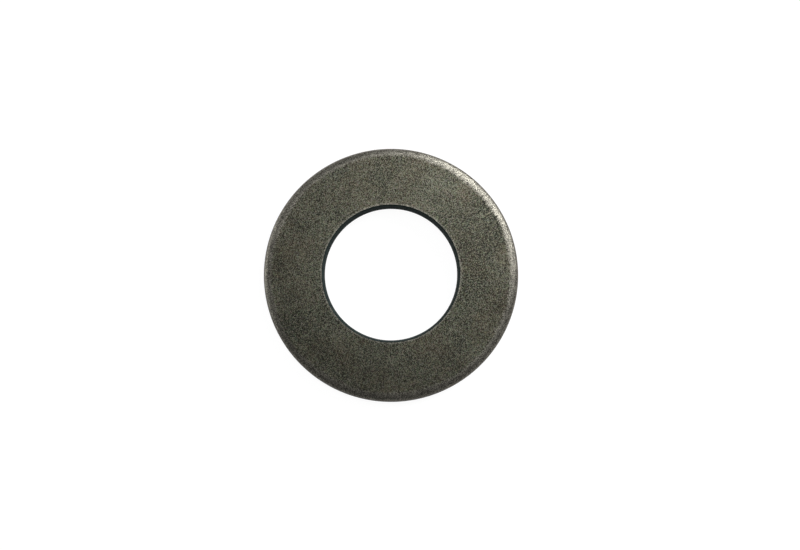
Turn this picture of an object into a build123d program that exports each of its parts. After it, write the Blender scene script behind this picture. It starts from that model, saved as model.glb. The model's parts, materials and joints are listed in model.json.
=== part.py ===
"""Disc spring: a conical ring washer, blanked from spring steel strip and cold formed, in one piece.

The spring lies as it rests on a plate, with its crown up. Z runs along the spring's axis, the origin is
on that axis in the plane that the spring stands on, and all sizes are in millimetres.
"""

from build123d import *

import os
from math import acos, atan2, cos, degrees, hypot, radians, sin, tan

# Driving dimensions: nominal 31.5 x 16.3 x 1.75, free height 2.45, at sizes inside their tolerances.
outer_diameter = 31.4  # 31.5 h12
bore_diameter = 16.35  # 16.3 H12, measured at the bore's straight land
thickness = 1.75  # square to the conical faces
free_height = 2.45  # from the seat edge up to the crown edge, unloaded

rim_roll_width = 1.45  # upper outer edge, drawn over by blanking: half-width of its ellipse
rim_roll_drop = 0.65  # half-height of the same ellipse
seat_round = 0.30  # lower outer edge, which the spring stands on
crown_round = 0.14  # upper edge of the bore, the highest on the spring
entry_round = 0.18  # lower edge of the bore

flare_depth = 1.05  # how far below the crown the bore's straight land ends
flare_angle = radians(12.5)  # how far the broken-out wall above the land leans back, from the axis

outer_radius = outer_diameter / 2
bore_radius = bore_diameter / 2


def cone_angle():
    """The slope of the conical faces, in radians.

    The seat's rounding stands on the plate and touches the rim wall. The crown's rounding reaches the
    free height and touches the flared bore wall. Each face is tangent to one of the two roundings, and
    the faces lie the thickness apart.
    """
    seat_centre = outer_radius - seat_round
    flare_height = flare_depth - crown_round
    crown_centre = bore_radius + flare_height * tan(flare_angle) + crown_round / cos(flare_angle)
    reach = seat_centre - crown_centre
    rise = free_height - seat_round - crown_round
    between = thickness - seat_round - crown_round
    return acos(between / hypot(reach, rise)) - atan2(reach, rise)


slope = cone_angle()


def face_height(radius, above_lower_face):
    """The height, at this radius, of the cone that lies so far above the lower face, square to it."""
    inwards = outer_radius - seat_round - radius
    return seat_round + inwards * tan(slope) + (above_lower_face - seat_round) / cos(slope)


def crown_corner():
    """Where the upper face and the flared bore wall would meet if the crown weren't rounded."""
    land_top = free_height - flare_depth
    missing = face_height(bore_radius, thickness) - land_top
    inset = missing * sin(flare_angle) * cos(slope) / cos(flare_angle - slope)
    return bore_radius + inset, face_height(bore_radius + inset, thickness)


# The roll's ellipse touches the rim wall at its widest point and the upper face at its end angle.
roll_end_angle = atan2(rim_roll_drop, rim_roll_width * tan(slope))
roll_centre_radius = outer_radius - rim_roll_width
roll_end_radius = roll_centre_radius + rim_roll_width * cos(roll_end_angle)
roll_centre_height = face_height(roll_end_radius, thickness) - rim_roll_drop * sin(roll_end_angle)

seat_corner = (outer_radius, face_height(outer_radius, 0))
land_corner = (bore_radius, free_height - flare_depth)
entry_corner = (bore_radius, face_height(bore_radius, 0))

# Each sharp corner of the section, with the radius that it is rounded to
rounded_corners = [
    (seat_corner, seat_round),
    (crown_corner(), crown_round),
    (entry_corner, entry_round),
]

with BuildPart() as disc_spring:
    with BuildSketch(Plane.XZ) as section:
        with BuildLine():
            rim_roll = EllipticalCenterArc(
                (roll_centre_radius, roll_centre_height),
                rim_roll_width,
                rim_roll_drop,
                start_angle=0,
                arc_size=degrees(roll_end_angle),
            )
            Polyline(rim_roll @ 1, crown_corner(), land_corner, entry_corner, seat_corner, rim_roll @ 0)
        make_face()
        for (radius, height), rounding in rounded_corners:
            corner = section.vertices().sort_by_distance((radius, height, 0))[0]
            fillet(corner, rounding)
    revolve(axis=Axis.Z)

disc_spring.part.label = "disc_spring"

os.makedirs("parts", exist_ok=True)
export_step(disc_spring.part, "parts/disc_spring.step")
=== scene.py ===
"""A disc spring: one ring of hardened spring steel, cold formed to a shallow cone, lying crown up.

The ring's section is drawn with modelling operators and spun about the spring's axis. Its faces carry a
dark phosphate coat that tumbling has worn through at the rolled rim, and its sheared walls are coloured
near-black as painted shade.
"""

import json
import logging
import math
from collections.abc import Callable
from dataclasses import dataclass, field
from enum import Enum

import bmesh
import bpy
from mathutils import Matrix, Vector


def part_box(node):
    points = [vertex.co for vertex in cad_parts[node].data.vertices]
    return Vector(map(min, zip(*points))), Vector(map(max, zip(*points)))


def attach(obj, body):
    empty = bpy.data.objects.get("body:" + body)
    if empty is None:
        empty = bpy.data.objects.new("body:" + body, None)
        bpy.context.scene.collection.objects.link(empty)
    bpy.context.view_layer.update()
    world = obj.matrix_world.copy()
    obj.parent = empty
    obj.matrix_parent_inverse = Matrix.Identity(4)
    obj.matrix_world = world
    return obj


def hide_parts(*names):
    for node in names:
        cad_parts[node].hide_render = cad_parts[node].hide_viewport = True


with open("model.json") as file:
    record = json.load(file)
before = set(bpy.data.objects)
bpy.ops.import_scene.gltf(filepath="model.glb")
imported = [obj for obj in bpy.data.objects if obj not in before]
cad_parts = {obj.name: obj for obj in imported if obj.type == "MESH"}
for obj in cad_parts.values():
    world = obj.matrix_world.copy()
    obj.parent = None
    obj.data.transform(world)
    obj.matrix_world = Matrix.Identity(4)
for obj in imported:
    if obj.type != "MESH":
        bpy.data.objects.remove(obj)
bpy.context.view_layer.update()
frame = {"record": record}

LOG = logging.getLogger("disc_spring")
MM = 0.001
NEAR = 0.001 * MM

Feed = bpy.types.NodeSocket | float | tuple[float, ...]


class Wall(Enum):
    """The two finishes of the ring, each with the number of its material slot."""

    COATED = 0
    SHEARED = 1


def linear(code: str) -> tuple[float, float, float, float]:
    """Turns an sRGB hex colour into the linear colour that a shader reads.

    Args:
        code: The colour, such as "#4E4E44".

    Returns:
        Red, green, blue and an alpha of one.
    """
    shares = [int(code[i : i + 2], 16) / 255 for i in (1, 3, 5)]
    red, green, blue = (c / 12.92 if c <= 0.04045 else ((c + 0.055) / 1.055) ** 2.4 for c in shares)
    return red, green, blue, 1.0


def add_node(
    tree: bpy.types.NodeTree, kind: str, feeds: dict[int | str, Feed] | None = None, **settings: object
) -> bpy.types.Node:
    """Adds a node to a tree, with its settings and what feeds each of its inputs.

    Args:
        tree: The node tree.
        kind: The node's type.
        feeds: For each input, by its number or name, the socket or the value that it takes.
        **settings: The node's own properties, such as its operation.

    Returns:
        The new node.
    """
    node = tree.nodes.new(kind)
    for name, value in settings.items():
        setattr(node, name, value)
    for key, feed in (feeds or {}).items():
        if isinstance(feed, bpy.types.NodeSocket):
            tree.links.new(feed, node.inputs[key])
        else:
            node.inputs[key].default_value = feed
    return node


def new_material(name: str) -> tuple[bpy.types.Material, bpy.types.NodeTree]:
    """Makes an empty material. Returns it with its node tree."""
    material = bpy.data.materials.new(name)
    material.use_nodes = True
    material.node_tree.nodes.clear()
    return material, material.node_tree


@dataclass(frozen=True)
class SoftSpot:
    """A soft round spot in the coat's tone, lighter or darker than what is round it.

    Its angle is in degrees and its sizes are in millimetres. It is centred at the upper face's height.
    """

    angle: float
    radius: float
    size: float
    amount: float
    height: float = 2.0

    def centre(self) -> tuple[float, float, float]:
        """Returns the blotch's place, in millimetres from the point where the axis meets the floor."""
        turn = math.radians(self.angle)
        return self.radius * math.cos(turn), self.radius * math.sin(turn), self.height


@dataclass(frozen=True)
class PhosphateCoat:
    """Oiled phosphate on tumbled spring steel: a dark, matt, crystalline skin with a metal sheen.

    The crystals glint singly, so the skin looks speckled. They are drawn near a tenth of a millimetre
    across, several times coarser than real ones, so that they show. On the rolled rim the tumbling has
    rubbed the coat down to bare steel, which is paler and smoother, and the worn edge breaks up in radial
    scratches, also coarser than real. The paler ring at the bore's lip, and the bare zone reaching further
    in by the key lamp, are painted highlight. Sizes are in millimetres.
    """

    name: str = "phosphated_spring_steel"
    dark: str = "#1C1D17"
    light: str = "#747465"
    brown: str = "#5E4E3E"
    bare_dark: str = "#4A4842"
    bare_light: str = "#979489"
    edge: str = "#3F372B"
    metallic: float = 0.85
    coat_roughness: tuple[float, float] = (0.43, 0.57)
    bare_roughness: float = 0.32
    grain: float = 0.085
    crystal: float = 0.090
    crystal_swing: float = 1.10
    grain_swing: tuple[float, float] = (-1.05, 1.6)
    cloud_swing: float = 0.16
    rust_share: float = 0.22
    tint_grain: float = 0.26
    tint_share: float = 0.20
    cloud: float = 4.5
    scratch: float = 0.20
    scratch_reach: float = 1.4
    scratch_fray: float = 0.6
    grain_fray: float = 0.5
    cloud_fray: float = 0.7
    wear_starts: float = 14.55
    wear_ends: float = 15.00
    # Where the scratches run in over the coat as short strokes
    strokes: SoftSpot = SoftSpot(angle=31, radius=13.9, size=2.6, amount=4.0)
    # Where the paler, smoother rim finish reaches further in, by the key lamp's bearing: painted highlight
    # that widens the rim's highlight
    painted_highlight_patch: SoftSpot = SoftSpot(angle=42, radius=14.9, size=6.0, amount=0.22)
    edge_starts: float = 15.50
    edge_ends: float = 15.62
    # A paler, smoother ring round the bore's lip: painted highlight
    lip_radius: float = 8.52
    lip_width: float = 0.30
    lip_painted_highlight: float = 0.75
    grain_height: float = 0.030
    scratch_height: float = 0.015
    # Soft spots, listed one by one: partly blotches in the coat, partly painted light and shade that set the
    # face's brightness sector by sector round the ring
    blotches_and_painted_shading: tuple[SoftSpot, ...] = (
        SoftSpot(angle=111, radius=14.2, size=3.2, amount=-0.16),
        SoftSpot(angle=150, radius=14.2, size=2.6, amount=-0.22),
        SoftSpot(angle=175, radius=13.5, size=3.0, amount=-0.16),
        SoftSpot(angle=185, radius=12.4, size=2.6, amount=-0.06),
        SoftSpot(angle=228, radius=12.2, size=3.0, amount=-0.12),
        SoftSpot(angle=266, radius=13.2, size=4.0, amount=-0.08),
        SoftSpot(angle=38, radius=13.4, size=2.2, amount=-0.22),
        SoftSpot(angle=18, radius=13.7, size=2.8, amount=-0.32),
        SoftSpot(angle=35, radius=11.4, size=2.6, amount=-0.16),
        SoftSpot(angle=-6, radius=14.3, size=2.4, amount=-0.16),
        SoftSpot(angle=-16, radius=14.0, size=3.4, amount=-0.24),
        SoftSpot(angle=10, radius=10.2, size=4.4, amount=-0.28),
        SoftSpot(angle=-16, radius=10.4, size=4.0, amount=-0.16),
        SoftSpot(angle=112, radius=12.0, size=2.2, amount=-0.08),
        SoftSpot(angle=69, radius=13.0, size=2.0, amount=0.10),
        SoftSpot(angle=53, radius=13.8, size=1.8, amount=0.20),
        SoftSpot(angle=57, radius=12.0, size=2.2, amount=0.10),
        SoftSpot(angle=60, radius=9.6, size=3.2, amount=0.08),
        SoftSpot(angle=86, radius=10.2, size=2.8, amount=0.10),
        SoftSpot(angle=112, radius=9.2, size=1.6, amount=0.10),
        SoftSpot(angle=144, radius=9.8, size=3.0, amount=0.16),
        SoftSpot(angle=252, radius=10.3, size=3.4, amount=0.11),
        SoftSpot(angle=270, radius=12.4, size=2.2, amount=0.08),
        SoftSpot(angle=-42, radius=14.2, size=2.6, amount=0.12),
    )

    def build(self) -> bpy.types.Material:
        """Makes the coat's material.

        Returns:
            The material, whose patterns are placed by Object coordinates.
        """
        material, tree = new_material(self.name)
        coordinates = add_node(tree, "ShaderNodeTexCoord")
        place = add_node(
            tree,
            "ShaderNodeVectorMath",
            {0: coordinates.outputs["Object"], "Scale": 1 / MM},
            operation="SCALE",
        ).outputs[0]
        flat = add_node(
            tree, "ShaderNodeVectorMath", {0: place, 1: (1, 1, 0)}, operation="MULTIPLY"
        ).outputs[0]
        radius = add_node(tree, "ShaderNodeVectorMath", {0: flat}, operation="LENGTH").outputs["Value"]

        grain = add_node(
            tree,
            "ShaderNodeTexNoise",
            {"Vector": place, "Scale": 1 / self.grain, "Detail": 2.0, "Roughness": 0.6},
        )
        cloud = add_node(
            tree,
            "ShaderNodeTexNoise",
            {"Vector": place, "Scale": 1 / self.cloud, "Detail": 3.0, "Roughness": 0.6},
        )
        scratch = self._scratches(tree, flat, radius)
        # Rim wear, with painted highlight on the bore's lip and by the key lamp
        worn = self._wear_and_painted_highlight(tree, place, radius, scratch, grain.outputs["Fac"], cloud.outputs["Fac"])
        tone = self._tone(tree, place, grain.outputs["Fac"], cloud.outputs["Fac"], scratch)

        coat = add_node(
            tree,
            "ShaderNodeMix",
            {"Factor": tone, "A": linear(self.dark), "B": linear(self.light)},
            data_type="RGBA",
        ).outputs["Result"]
        rust = add_node(
            tree,
            "ShaderNodeMapRange",
            {"Value": cloud.outputs["Color"], "From Min": 0.45, "From Max": 0.7, "To Max": self.rust_share},
        ).outputs[0]
        coat = add_node(
            tree, "ShaderNodeMix", {"Factor": rust, "A": coat, "B": linear(self.brown)}, data_type="RGBA"
        ).outputs["Result"]
        tints = add_node(
            tree, "ShaderNodeTexNoise", {"Vector": place, "Scale": 1 / self.tint_grain, "Detail": 1.0}
        ).outputs["Color"]
        coat = add_node(
            tree,
            "ShaderNodeMix",
            {"Factor": self.tint_share, "A": coat, "B": tints},
            data_type="RGBA",
            blend_type="OVERLAY",
        ).outputs["Result"]
        bare = add_node(
            tree,
            "ShaderNodeMix",
            {"Factor": tone, "A": linear(self.bare_dark), "B": linear(self.bare_light)},
            data_type="RGBA",
        ).outputs["Result"]
        colour = add_node(
            tree, "ShaderNodeMix", {"Factor": worn, "A": coat, "B": bare}, data_type="RGBA"
        ).outputs["Result"]
        edge = add_node(
            tree,
            "ShaderNodeMapRange",
            {"Value": radius, "From Min": self.edge_starts, "From Max": self.edge_ends},
        ).outputs[0]
        metallic = add_node(
            tree, "ShaderNodeMapRange", {"Value": edge, "To Min": self.metallic, "To Max": 0.0}
        ).outputs[0]
        colour = add_node(
            tree, "ShaderNodeMix", {"Factor": edge, "A": colour, "B": linear(self.edge)}, data_type="RGBA"
        ).outputs["Result"]

        low, high = self.coat_roughness
        coat_rough = add_node(
            tree,
            "ShaderNodeMapRange",
            {"Value": grain.outputs["Fac"], "From Min": 0.3, "From Max": 0.7, "To Min": high, "To Max": low},
        ).outputs[0]
        rough = add_node(
            tree,
            "ShaderNodeMix",
            {"Factor": worn, "A": coat_rough, "B": self.bare_roughness},
            data_type="FLOAT",
        ).outputs["Result"]

        grain_bump = add_node(
            tree,
            "ShaderNodeBump",
            {"Strength": 1.0, "Distance": self.grain_height * MM, "Height": grain.outputs["Fac"]},
        ).outputs["Normal"]
        bump = add_node(
            tree,
            "ShaderNodeBump",
            {"Strength": 1.0, "Distance": self.scratch_height * MM, "Height": scratch, "Normal": grain_bump},
        ).outputs["Normal"]

        shader = add_node(
            tree,
            "ShaderNodeBsdfPrincipled",
            {"Base Color": colour, "Roughness": rough, "Normal": bump, "Metallic": metallic},
        )
        add_node(tree, "ShaderNodeOutputMaterial", {"Surface": shader.outputs[0]})
        return material

    def _scratches(
        self, tree: bpy.types.NodeTree, flat: bpy.types.NodeSocket, radius: bpy.types.NodeSocket
    ) -> bpy.types.NodeSocket:
        """Draws fine radial scratches round the rim.

        Args:
            tree: The material's node tree.
            flat: The place in the ring's plane, in millimetres.
            radius: The distance from the axis, in millimetres.

        Returns:
            A pattern from about 0.3 to 0.7 that changes quickly round the ring and slowly outwards.
        """
        turns = self.wear_ends / self.scratch
        around = add_node(tree, "ShaderNodeVectorMath", {0: flat}, operation="NORMALIZE").outputs[0]
        spread = add_node(
            tree, "ShaderNodeVectorMath", {0: around, "Scale": turns}, operation="SCALE"
        ).outputs[0]
        along = add_node(
            tree, "ShaderNodeMath", {0: radius, 1: 1 / self.scratch_reach}, operation="MULTIPLY"
        ).outputs[0]
        outward = add_node(tree, "ShaderNodeCombineXYZ", {"Z": along}).outputs[0]
        vector = add_node(tree, "ShaderNodeVectorMath", {0: spread, 1: outward}, operation="ADD").outputs[0]
        return add_node(
            tree, "ShaderNodeTexNoise", {"Vector": vector, "Scale": 1.0, "Detail": 2.0, "Roughness": 0.5}
        ).outputs["Fac"]

    def _wear_and_painted_highlight(
        self,
        tree: bpy.types.NodeTree,
        place: bpy.types.NodeSocket,
        radius: bpy.types.NodeSocket,
        scratch: bpy.types.NodeSocket,
        grain: bpy.types.NodeSocket,
        cloud: bpy.types.NodeSocket,
    ) -> bpy.types.NodeSocket:
        """Says how far the coat is worn through on the rim, and where painted highlight pales the bore's lip
        and the rim by the key lamp.

        Args:
            tree: The material's node tree.
            place: The place on the spring, in millimetres.
            radius: The distance from the axis, in millimetres.
            scratch: The radial scratches, which fray the worn edge.
            grain: The fine grain, which frays it finely.
            cloud: The broad mottling, which makes it wander.

        Returns:
            The wear: 1 on the rolled rim, some of it on the bore's lip as painted highlight, and 0 on the
                faces between.
        """
        frayed = add_node(
            tree, "ShaderNodeMath", {0: scratch, 1: self.scratch_fray, 2: radius}, operation="MULTIPLY_ADD"
        ).outputs[0]
        frayed = add_node(
            tree, "ShaderNodeMath", {0: grain, 1: self.grain_fray, 2: frayed}, operation="MULTIPLY_ADD"
        ).outputs[0]
        frayed = add_node(
            tree, "ShaderNodeMath", {0: cloud, 1: self.cloud_fray, 2: frayed}, operation="MULTIPLY_ADD"
        ).outputs[0]
        # Painted highlight: by the key lamp the rim finish reaches further in
        painted_highlight_patch = self._spot(tree, place, self.painted_highlight_patch)
        frayed = add_node(tree, "ShaderNodeMath", {0: frayed, 1: painted_highlight_patch}, operation="ADD").outputs[0]
        middle = 0.5 * (self.scratch_fray + self.grain_fray + self.cloud_fray)
        rim = add_node(
            tree,
            "ShaderNodeMapRange",
            {"Value": frayed, "From Min": self.wear_starts + middle, "From Max": self.wear_ends + middle},
            interpolation_type="SMOOTHSTEP",
        ).outputs[0]
        # Painted highlight: the bore's lip takes some of the paler, smoother rim finish
        lip = add_node(
            tree,
            "ShaderNodeMapRange",
            {
                "Value": radius,
                "From Min": self.lip_radius,
                "From Max": self.lip_radius + self.lip_width,
                "To Min": self.lip_painted_highlight,
                "To Max": 0.0,
            },
            interpolation_type="SMOOTHSTEP",
        ).outputs[0]
        return add_node(tree, "ShaderNodeMath", {0: rim, 1: lip}, operation="MAXIMUM").outputs[0]

    @staticmethod
    def _spot(tree: bpy.types.NodeTree, place: bpy.types.NodeSocket, soft_spot: SoftSpot) -> bpy.types.NodeSocket:
        """Draws one soft round blotch.

        Args:
            tree: The material's node tree.
            place: The place on the spring, in millimetres.
            soft_spot: The blotch.

        Returns:
            The blotch's amount at its centre, falling to 0 at its edge.
        """
        away = add_node(
            tree, "ShaderNodeVectorMath", {0: place, 1: soft_spot.centre()}, operation="DISTANCE"
        ).outputs["Value"]
        return add_node(
            tree,
            "ShaderNodeMapRange",
            {"Value": away, "From Min": 0.0, "From Max": soft_spot.size, "To Min": soft_spot.amount, "To Max": 0.0},
            interpolation_type="SMOOTHSTEP",
        ).outputs[0]

    def _tone(
        self,
        tree: bpy.types.NodeTree,
        place: bpy.types.NodeSocket,
        grain: bpy.types.NodeSocket,
        cloud: bpy.types.NodeSocket,
        scratch: bpy.types.NodeSocket,
    ) -> bpy.types.NodeSocket:
        """Mixes grain, crystals, clouds, soft spots and short strokes into the coat's tone; the spots are
        partly blotches, partly painted light and shade.

        Args:
            tree: The material's node tree.
            place: The place on the spring, in millimetres.
            grain: The fine grain between the crystals.
            cloud: The broad mottling.
            scratch: The radial scratches, which show as strokes in one patch beside the rim.

        Returns:
            The shade, from 0 for the dark colour to 1 for the light one.
        """
        darkest, palest = self.grain_swing
        shade = add_node(
            tree,
            "ShaderNodeMapRange",
            {"Value": grain, "From Min": 0.25, "From Max": 0.75, "To Min": darkest, "To Max": palest},
        ).outputs[0]
        # One even shade for each crystal, chosen at random
        facets = add_node(
            tree, "ShaderNodeTexVoronoi", {"Vector": place, "Scale": 1 / self.crystal}
        ).outputs["Color"]
        glint = add_node(
            tree,
            "ShaderNodeMapRange",
            {"Value": facets, "To Min": -self.crystal_swing, "To Max": self.crystal_swing},
        ).outputs[0]
        shade = add_node(tree, "ShaderNodeMath", {0: shade, 1: glint}, operation="ADD").outputs[0]
        soft = add_node(
            tree,
            "ShaderNodeMapRange",
            {
                "Value": cloud,
                "From Min": 0.3,
                "From Max": 0.7,
                "To Min": -self.cloud_swing,
                "To Max": self.cloud_swing,
            },
        ).outputs[0]
        shade = add_node(tree, "ShaderNodeMath", {0: shade, 1: soft}, operation="ADD").outputs[0]
        swing = add_node(tree, "ShaderNodeMath", {0: scratch, 1: 0.5}, operation="SUBTRACT").outputs[0]
        patch = self._spot(tree, place, self.strokes)
        shade = add_node(
            tree, "ShaderNodeMath", {0: swing, 1: patch, 2: shade}, operation="MULTIPLY_ADD"
        ).outputs[0]
        # Partly blotches, partly painted light and shade across the face
        for soft_spot in self.blotches_and_painted_shading:
            spot = self._spot(tree, place, soft_spot)
            shade = add_node(tree, "ShaderNodeMath", {0: shade, 1: spot}, operation="ADD").outputs[0]
        return add_node(tree, "ShaderNodeClamp", {"Value": shade}).outputs[0]


@dataclass(frozen=True)
class ShearWallPaintedShade:
    """The punched walls: steel sheared along the axis, coloured near-black as painted shade.

    The dark blue-green colour and the low specular level are painted shade on these walls. They carry faint
    drag lines from the punch. The lines are drawn coarser than real ones, so that they show. Sizes are in
    millimetres.
    """

    name: str = "blackened_sheared_steel"
    # Near-black blue-green: painted shade on the sheared walls
    dark: str = "#151D1C"
    light: str = "#27312F"
    roughness: float = 0.75
    # A low specular level keeps the walls dark in reflections too, as part of the painted shade
    specular: float = 0.06
    line: float = 0.16
    line_changes: float = 0.6
    line_height: float = 0.02

    def build(self) -> bpy.types.Material:
        """Makes the material of the bore's wall and of the rim's.

        Returns:
            The material, whose drag lines run along the axis.
        """
        material, tree = new_material(self.name)
        coordinates = add_node(tree, "ShaderNodeTexCoord")
        across = 1 / (self.line * MM)
        drawn = add_node(
            tree,
            "ShaderNodeVectorMath",
            {0: coordinates.outputs["Object"], 1: (across, across, self.line_changes / MM)},
            operation="MULTIPLY",
        ).outputs[0]
        lines = add_node(
            tree, "ShaderNodeTexNoise", {"Vector": drawn, "Scale": 1.0, "Detail": 3.0}
        ).outputs["Fac"]
        tone = add_node(
            tree, "ShaderNodeMapRange", {"Value": lines, "From Min": 0.35, "From Max": 0.7}
        ).outputs[0]
        colour = add_node(
            tree,
            "ShaderNodeMix",
            {"Factor": tone, "A": linear(self.dark), "B": linear(self.light)},
            data_type="RGBA",
        ).outputs["Result"]
        bump = add_node(
            tree, "ShaderNodeBump", {"Strength": 1.0, "Distance": self.line_height * MM, "Height": lines}
        ).outputs["Normal"]
        shader = add_node(
            tree,
            "ShaderNodeBsdfPrincipled",
            {
                "Base Color": colour,
                "Roughness": self.roughness,
                "Normal": bump,
                "Metallic": 0.0,
                "Specular IOR Level": self.specular,
            },
        )
        add_node(tree, "ShaderNodeOutputMaterial", {"Surface": shader.outputs[0]})
        return material


@dataclass
class Bench:
    """A mesh on the bench: it is in edit mode, and its corners and edges are picked by their place."""

    piece: bpy.types.Object

    def __enter__(self) -> "Bench":
        """Opens the mesh for editing, with nothing picked."""
        bpy.ops.object.select_all(action="DESELECT")
        self.piece.select_set(True)
        bpy.context.view_layer.objects.active = self.piece
        bpy.ops.object.mode_set(mode="EDIT")
        bpy.ops.mesh.select_all(action="DESELECT")
        return self

    def __exit__(self, *problem: object) -> None:
        """Closes the mesh."""
        bpy.ops.object.mode_set(mode="OBJECT")

    def _only(self, part: str, nearness: Callable[[object], float]) -> Vector:
        """Picks the one vertex or edge that is nearest, and returns its middle."""
        bpy.ops.mesh.select_all(action="DESELECT")
        bpy.ops.mesh.select_mode(type="VERT" if part == "verts" else "EDGE")
        mesh = bmesh.from_edit_mesh(self.piece.data)
        found = min(getattr(mesh, part), key=nearness)
        found.select_set(True)
        mesh.select_flush_mode()
        middle = found.co.copy() if part == "verts" else (found.verts[0].co + found.verts[1].co) / 2
        bmesh.update_edit_mesh(self.piece.data)
        return middle

    def pick_corner(self, place: Vector) -> Vector:
        """Picks the vertex nearest to a place, and returns where it is."""
        return self._only("verts", lambda v: (v.co - place).length)

    def pick_edge(self, place: Vector) -> None:
        """Picks the edge whose middle is nearest to a place."""
        self._only("edges", lambda e: ((e.verts[0].co + e.verts[1].co) / 2 - place).length)

    def move_corner(self, start: Vector, end: Vector) -> None:
        """Moves the vertex nearest to start so that it lies at end."""
        found = self.pick_corner(start)
        bpy.ops.transform.translate(value=end - found)

    def places(self, wanted: Callable[[Vector], bool]) -> list[Vector]:
        """Returns where the wanted vertices are, from the innermost to the outermost."""
        mesh = bmesh.from_edit_mesh(self.piece.data)
        return sorted((v.co.copy() for v in mesh.verts if wanted(v.co)), key=lambda place: place.x)


@dataclass
class Section:
    """The ring's section, in the plane through the axis, in metres.

    The outer radius, the free height and the bore come from the model. The rest are the spring's own
    sizes: two conical faces a thickness apart, and five rounded corners. The upper outer one is rolled to
    an ellipse, and the upper face bulges a little above its cone.
    """

    outer_radius: float
    free_height: float
    bore_radius: float
    thickness: float = 1.75 * MM
    roll_width: float = 1.45 * MM
    roll_drop: float = 0.65 * MM
    seat_round: float = 0.30 * MM
    crown_round: float = 0.14 * MM
    entry_round: float = 0.18 * MM
    land_round: float = 0.30 * MM
    flare_depth: float = 1.05 * MM
    flare_angle: float = math.radians(12.5)
    crowning: float = 0.07 * MM
    slope: float = field(init=False)

    def __post_init__(self) -> None:
        """Works out the slope at which the rounded section has its free height."""
        flare_height = self.flare_depth - self.crown_round
        flare_width = flare_height * math.tan(self.flare_angle)
        crown_centre = self.bore_radius + flare_width + self.crown_round / math.cos(self.flare_angle)
        reach = self.outer_radius - self.seat_round - crown_centre
        rise = self.free_height - self.seat_round - self.crown_round
        between = self.thickness - self.seat_round - self.crown_round
        self.slope = math.acos(between / math.hypot(reach, rise)) - math.atan2(reach, rise)

    def face(self, radius: float, above: float) -> Vector:
        """Finds a point on one of the cones.

        Args:
            radius: The point's distance from the axis.
            above: How far the cone lies above the lower face, square to it.

        Returns:
            The point, in the plane of the section.
        """
        inwards = self.outer_radius - self.seat_round - radius
        rise = inwards * math.tan(self.slope) + (above - self.seat_round) / math.cos(self.slope)
        return Vector((radius, 0.0, self.seat_round + rise))

    def seat(self) -> Vector:
        """Returns the lower outer corner."""
        return self.face(self.outer_radius, 0.0)

    def rim(self) -> Vector:
        """Returns the upper outer corner."""
        return self.face(self.outer_radius, self.thickness)

    def entry(self) -> Vector:
        """Returns the lower corner of the bore."""
        return self.face(self.bore_radius, 0.0)

    def land(self) -> Vector:
        """Returns the corner where the bore's straight land meets the flared wall above it."""
        return Vector((self.bore_radius, 0.0, self.free_height - self.flare_depth))

    def crown(self) -> Vector:
        """Returns the upper corner of the bore, where the flared wall meets the upper face."""
        missing = self.face(self.bore_radius, self.thickness).z - self.land().z
        lean = math.cos(self.flare_angle - self.slope)
        inset = missing * math.sin(self.flare_angle) * math.cos(self.slope) / lean
        return self.face(self.bore_radius + inset, self.thickness)


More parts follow.
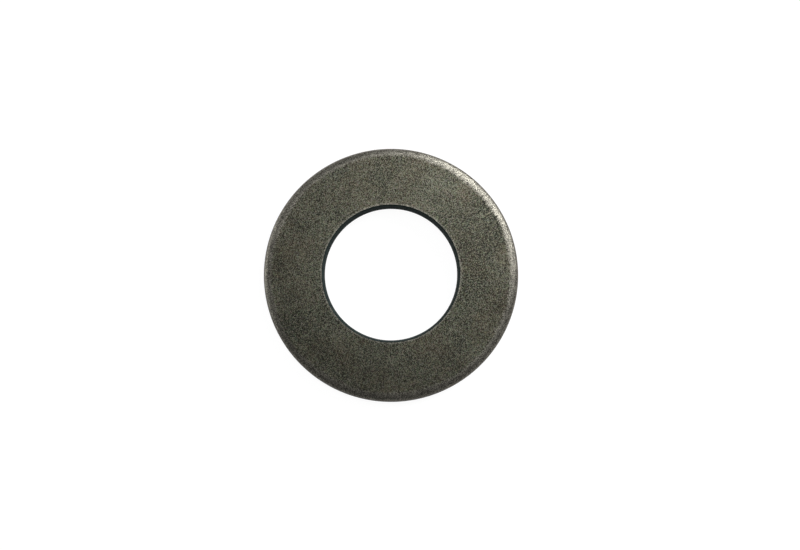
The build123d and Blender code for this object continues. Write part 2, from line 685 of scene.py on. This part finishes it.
@dataclass
class DiscSpring:
    """The spring: the section spun round the axis, roughened as tumbling leaves it, and dressed.

    Rows and segments say how finely each stretch and each rounding is divided. A face counts as a sheared
    wall where its normal is no steeper than the limits given for the bore and the rim.
    """

    section: Section
    coat: PhosphateCoat = field(default_factory=PhosphateCoat)
    shear: ShearWallPaintedShade = field(default_factory=ShearWallPaintedShade)
    spin_steps: int = 540
    face_rows: int = 38
    under_rows: int = 18
    wall_rows: int = 4
    roll_segments: int = 18
    seat_segments: int = 6
    entry_segments: int = 5
    land_segments: int = 3
    crown_segments: int = 7
    form_size: float = 5.0 * MM
    form_depth: float = 0.030 * MM
    skin_size: float = 0.8 * MM
    skin_depth: float = 0.008 * MM
    true_edge: float = 0.3 * MM
    skin_fade: float = 0.8 * MM
    rim_band: float = 0.2 * MM
    steepest_in_bore: float = 0.98
    steepest_on_rim: float = 0.4

    def build(self) -> bpy.types.Object:
        """Models the spring.

        Returns:
            The finished piece, which rides on the model's body in place of the plain node.
        """
        piece = self._draw_section()
        self._spin(piece)
        self._roughen(piece)
        self._dress(piece)
        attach(piece, "root")
        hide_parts("disc_spring")
        LOG.info("%s: %d faces", piece.name, len(piece.data.polygons))
        return piece

    def _draw_section(self) -> bpy.types.Object:
        """Shapes a rectangle into the closed outline of the section.

        Returns:
            The outline, with no face in it, in the plane of X and Z.
        """
        shape = self.section
        middle = (shape.seat() + shape.crown()) / 2
        bpy.ops.object.select_all(action="DESELECT")
        bpy.ops.mesh.primitive_plane_add(size=shape.thickness, location=middle, rotation=(math.pi / 2, 0, 0))
        piece = bpy.context.active_object
        piece.name = piece.data.name = "conical_spring_ring"
        bpy.ops.object.transform_apply(location=True, rotation=True, scale=True)
        half = shape.thickness / 2
        with Bench(piece) as bench:
            bench.pick_edge(middle + Vector((-half, 0, 0)))
            bpy.ops.mesh.subdivide(number_cuts=1)
            bench.move_corner(middle + Vector((half, 0, -half)), shape.seat())
            bench.move_corner(middle + Vector((half, 0, half)), shape.rim())
            bench.move_corner(middle + Vector((-half, 0, half)), shape.crown())
            bench.move_corner(middle + Vector((-half, 0, -half)), shape.entry())
            bench.move_corner(middle + Vector((-half, 0, 0)), shape.land())
            self._round_corners(bench)
            bpy.ops.mesh.select_mode(type="FACE")
            bpy.ops.mesh.select_all(action="SELECT")
            bpy.ops.mesh.delete(type="ONLY_FACE")
            self._divide(bench)
        return piece

    def _round_corners(self, bench: Bench) -> None:
        """Rounds the five corners. The rim's is rounded while stretched, and so becomes an ellipse."""
        shape = self.section
        stretch = shape.roll_width / shape.roll_drop
        right = math.pi / 2
        steep = math.atan(stretch * math.tan(shape.slope))
        self._stretch(stretch)
        rim = shape.rim()
        rim.z *= stretch
        self._round(bench, rim, shape.roll_width, right + steep, self.roll_segments)
        self._stretch(1 / stretch)
        lean = shape.flare_angle
        self._round(bench, shape.seat(), shape.seat_round, right - shape.slope, self.seat_segments)
        self._round(bench, shape.entry(), shape.entry_round, right + shape.slope, self.entry_segments)
        self._round(bench, shape.land(), shape.land_round, math.pi - lean, self.land_segments)
        crown_angle = right + lean - shape.slope
        self._round(bench, shape.crown(), shape.crown_round, crown_angle, self.crown_segments)

    @staticmethod
    def _stretch(share: float) -> None:
        """Scales the whole section in height, from the plane that the spring stands on."""
        bpy.ops.mesh.select_all(action="SELECT")
        bpy.ops.transform.resize(value=(1, 1, share), center_override=(0, 0, 0))

    @staticmethod
    def _round(bench: Bench, corner: Vector, radius: float, angle: float, segments: int) -> None:
        """Rounds one corner of the section.

        Args:
            bench: The open mesh.
            corner: The corner's place.
            radius: The rounding's radius.
            angle: The section's inner angle there.
            segments: How many straight pieces the arc has.
        """
        bench.pick_corner(corner)
        bpy.ops.mesh.bevel(
            offset_type="OFFSET",
            offset=radius / math.tan(angle / 2),
            segments=segments,
            profile=0.5,
            affect="VERTICES",
            clamp_overlap=False,
        )

    def _divide(self, bench: Bench) -> None:
        """Divides the straight stretches into even rows, and gives the upper face its slight crowning."""
        shape = self.section
        flare = (shape.land() + shape.crown()) / 2
        stretches = (
            ((shape.seat() + shape.entry()) / 2, self.under_rows),
            ((shape.seat() + shape.rim()) / 2, self.wall_rows),
            ((shape.entry() + shape.land()) / 2, self.wall_rows),
            (flare, self.wall_rows),
            ((shape.crown() + shape.rim()) / 2, self.face_rows),
        )
        for middle, rows in stretches:
            bench.pick_edge(middle)
            bpy.ops.mesh.subdivide(number_cuts=rows)
        self._crown_face(bench)

    def _crown_face(self, bench: Bench) -> None:
        """Lifts the middle rows of the upper face into a slight bulge, most at its middle."""
        shape = self.section
        rows = bench.places(lambda place: (place - shape.face(place.x, shape.thickness)).length < NEAR)
        inner, outer = rows[0].x, rows[-1].x
        for place in rows[1:-1]:
            share = (place.x - inner) / (outer - inner)
            lift = shape.crowning * math.sin(math.pi * share) ** 2
            bench.pick_corner(place)
            bpy.ops.transform.translate(value=(0, 0, lift))

    def _spin(self, piece: bpy.types.Object) -> None:
        """Spins the outline once round the axis, and closes and orients the ring."""
        with Bench(piece):
            bpy.ops.mesh.select_mode(type="VERT")
            bpy.ops.mesh.select_all(action="SELECT")
            bpy.ops.mesh.spin(steps=self.spin_steps, angle=2 * math.pi, center=(0, 0, 0), axis=(0, 0, 1))
            bpy.ops.mesh.select_all(action="SELECT")
            bpy.ops.mesh.remove_doubles(threshold=NEAR)
            bpy.ops.mesh.normals_make_consistent(inside=False)

    def _roughen(self, piece: bpy.types.Object) -> None:
        """Gives the skin the small unevenness of cold forming and tumbling.

        Args:
            piece: The ring. Its walls and its two bearing edges stay true.
        """
        shape = self.section
        skin = piece.vertex_groups.new(name="skin")
        inner, outer = shape.crown().x + self.true_edge, shape.outer_radius - self.true_edge
        for vertex in piece.data.vertices:
            radius = math.hypot(vertex.co.x, vertex.co.y)
            share = min(radius - inner, outer - radius) / self.skin_fade
            skin.add([vertex.index], max(0.0, min(1.0, share)), "REPLACE")
        layers = (("form", self.form_size, self.form_depth), ("skin", self.skin_size, self.skin_depth))
        for name, size, depth in layers:
            texture = bpy.data.textures.new(name, "CLOUDS")
            texture.noise_scale = size
            texture.noise_basis = "IMPROVED_PERLIN"
            displace = piece.modifiers.new(name, "DISPLACE")
            displace.texture = texture
            displace.texture_coords = "LOCAL"
            displace.vertex_group = skin.name
            displace.strength = depth
            displace.mid_level = 0.5
            bpy.ops.object.modifier_apply(modifier=name)

    def _dress(self, piece: bpy.types.Object) -> None:
        """Coats the ring, and gives the walls that the punch sheared a near-black colour of painted shade.
        """
        shape = self.section
        piece.data.materials.append(self.coat.build())
        # The sheared walls get a near-black material of painted shade
        piece.data.materials.append(self.shear.build())
        bpy.ops.object.shade_smooth()
        bore_side = shape.crown().x + 0.75 * shape.crown_round
        rim_side = shape.outer_radius - self.rim_band
        for face in piece.data.polygons:
            radius = math.hypot(face.center.x, face.center.y)
            in_bore = radius < bore_side and abs(face.normal.z) < self.steepest_in_bore
            on_rim = radius > rim_side and abs(face.normal.z) < self.steepest_on_rim
            sheared = in_bore or on_rim
            face.material_index = (Wall.SHEARED if sheared else Wall.COATED).value


@dataclass(frozen=True)
class SoftLamp:
    """An oblong soft light, aimed at the spring from a bearing and an elevation in degrees."""

    name: str
    bearing: float
    elevation: float
    distance: float
    width: float
    height: float
    brightness: float
    colour: str = "#FFFFFF"

    def build(self, target: Vector) -> None:
        """Hangs the lamp.

        Args:
            target: What it is aimed at.
        """
        turn, rise = math.radians(self.bearing), math.radians(self.elevation)
        out = Vector((math.cos(turn) * math.cos(rise), math.sin(turn) * math.cos(rise), math.sin(rise)))
        data = bpy.data.lights.new(self.name, "AREA")
        data.shape = "RECTANGLE"
        data.size, data.size_y = self.width, self.height
        data.energy = self.brightness * math.pi * self.width * self.height
        data.color = linear(self.colour)[:3]
        lamp = bpy.data.objects.new(self.name, data)
        lamp.location = target + out * self.distance
        lamp.rotation_euler = out.to_track_quat("Z", "Y").to_euler()
        bpy.context.scene.collection.objects.link(lamp)


@dataclass
class Studio:
    """A pale floor, soft lamps, a dim room and the camera."""

    centre: Vector
    floor_radius: float = 3.0
    floor_sides: int = 96
    floor_colour: str = "#F4F4F4"
    floor_share: float = 0.12
    floor_glow: float = 1.08
    room_low: str = "#C8C8C8"
    room_high: str = "#606060"
    room_horizon: float = 0.3
    lens: float = 60.0
    sensor: float = 36.0
    clip: tuple[float, float] = (0.01, 20.0)
    view_width: float = 98.94 * MM
    view_elevation: float = 84.3
    aim: tuple[float, float] = (1.11 * MM, -0.07 * MM)
    aim_height: float = 0.9 * MM
    lamps: tuple[SoftLamp, ...] = (
        SoftLamp("key", 44, 33, distance=0.35, width=0.25, height=0.14, brightness=12.5),
        SoftLamp("overhead", 100, 72, distance=0.45, width=0.22, height=0.22, brightness=3.6),
        SoftLamp("left_fill", 167, 13, distance=0.40, width=0.30, height=0.10, brightness=4.0),
        SoftLamp("right_fill", 350, 60, distance=0.40, width=0.12, height=0.12, brightness=1.8),
    )

    def build(self) -> None:
        """Sets up everything round the spring."""
        self._lay_floor()
        self._light_room()
        for lamp in self.lamps:
            lamp.build(self.centre)
        self._place_camera()
        bpy.context.scene.view_settings.view_transform = "Standard"

    def _lay_floor(self) -> None:
        """Lays a floor that is white to the eye and in reflections, and still takes a soft shadow."""
        bpy.ops.object.select_all(action="DESELECT")
        bpy.ops.mesh.primitive_circle_add(
            vertices=self.floor_sides, radius=self.floor_radius, fill_type="NGON"
        )
        floor = bpy.context.active_object
        floor.name = "floor"
        material, tree = new_material("floor_paper")
        path = add_node(tree, "ShaderNodeLightPath")
        seen = add_node(
            tree,
            "ShaderNodeMath",
            {0: path.outputs["Is Camera Ray"], 1: path.outputs["Is Glossy Ray"]},
            operation="MAXIMUM",
        ).outputs[0]
        seen = add_node(
            tree, "ShaderNodeMath", {0: seen, 1: path.outputs["Is Transmission Ray"]}, operation="MAXIMUM"
        ).outputs[0]
        share = add_node(
            tree, "ShaderNodeMath", {0: seen, 1: 1 - self.floor_share}, operation="MULTIPLY"
        ).outputs[0]
        paper = add_node(tree, "ShaderNodeBsdfDiffuse", {"Color": linear(self.floor_colour)})
        glow = add_node(tree, "ShaderNodeEmission", {"Strength": self.floor_glow})
        mixed = add_node(
            tree, "ShaderNodeMixShader", {0: share, 1: paper.outputs[0], 2: glow.outputs[0]}
        )
        add_node(tree, "ShaderNodeOutputMaterial", {"Surface": mixed.outputs[0]})
        floor.data.materials.append(material)

    def _light_room(self) -> None:
        """Lights the room evenly, paler near the horizon than overhead."""
        world = bpy.data.worlds.new("room")
        bpy.context.scene.world = world
        world.use_nodes = True
        tree = world.node_tree
        tree.nodes.clear()
        direction = add_node(tree, "ShaderNodeTexCoord").outputs["Generated"]
        height = add_node(tree, "ShaderNodeSeparateXYZ", {0: direction}).outputs["Z"]
        share = add_node(
            tree, "ShaderNodeMapRange", {"Value": height, "From Max": self.room_horizon}
        ).outputs[0]
        colour = add_node(
            tree,
            "ShaderNodeMix",
            {"Factor": share, "A": linear(self.room_low), "B": linear(self.room_high)},
            data_type="RGBA",
        ).outputs["Result"]
        background = add_node(tree, "ShaderNodeBackground", {"Color": colour, "Strength": 1.0})
        add_node(tree, "ShaderNodeOutputWorld", {"Surface": background.outputs[0]})

    def _place_camera(self) -> None:
        """Places the camera nearly straight above the spring, a little towards the front."""
        data = bpy.data.cameras.new("camera")
        data.lens = self.lens
        data.sensor_width = self.sensor
        data.clip_start, data.clip_end = self.clip
        camera = bpy.data.objects.new("camera", data)
        rise = math.radians(self.view_elevation)
        back = Vector((0, -math.cos(rise), math.sin(rise)))
        target = Vector((self.aim[0], self.aim[1], self.aim_height))
        camera.location = target + back * (self.view_width * self.lens / self.sensor)
        camera.rotation_euler = back.to_track_quat("Z", "Y").to_euler()
        bpy.context.scene.collection.objects.link(camera)
        bpy.context.scene.camera = camera


def bore_radius(record: dict) -> float:
    """Reads the radius of the bore's straight land, in metres, from the model's record."""
    mount = next(m for m in record["mounts"] if m["name"] == "guide_bore")
    return mount["dims"]["r_mm"] * MM


def main() -> None:
    """Builds the spring and the studio."""
    logging.basicConfig(level=logging.INFO, format="%(name)s: %(message)s")
    low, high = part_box("disc_spring")
    section = Section(
        outer_radius=(high.x - low.x) / 2,
        free_height=high.z - low.z,
        bore_radius=bore_radius(frame["record"]),
    )
    DiscSpring(section).build()
    Studio(centre=(low + high) / 2).build()


if __name__ == "__main__":
    main()
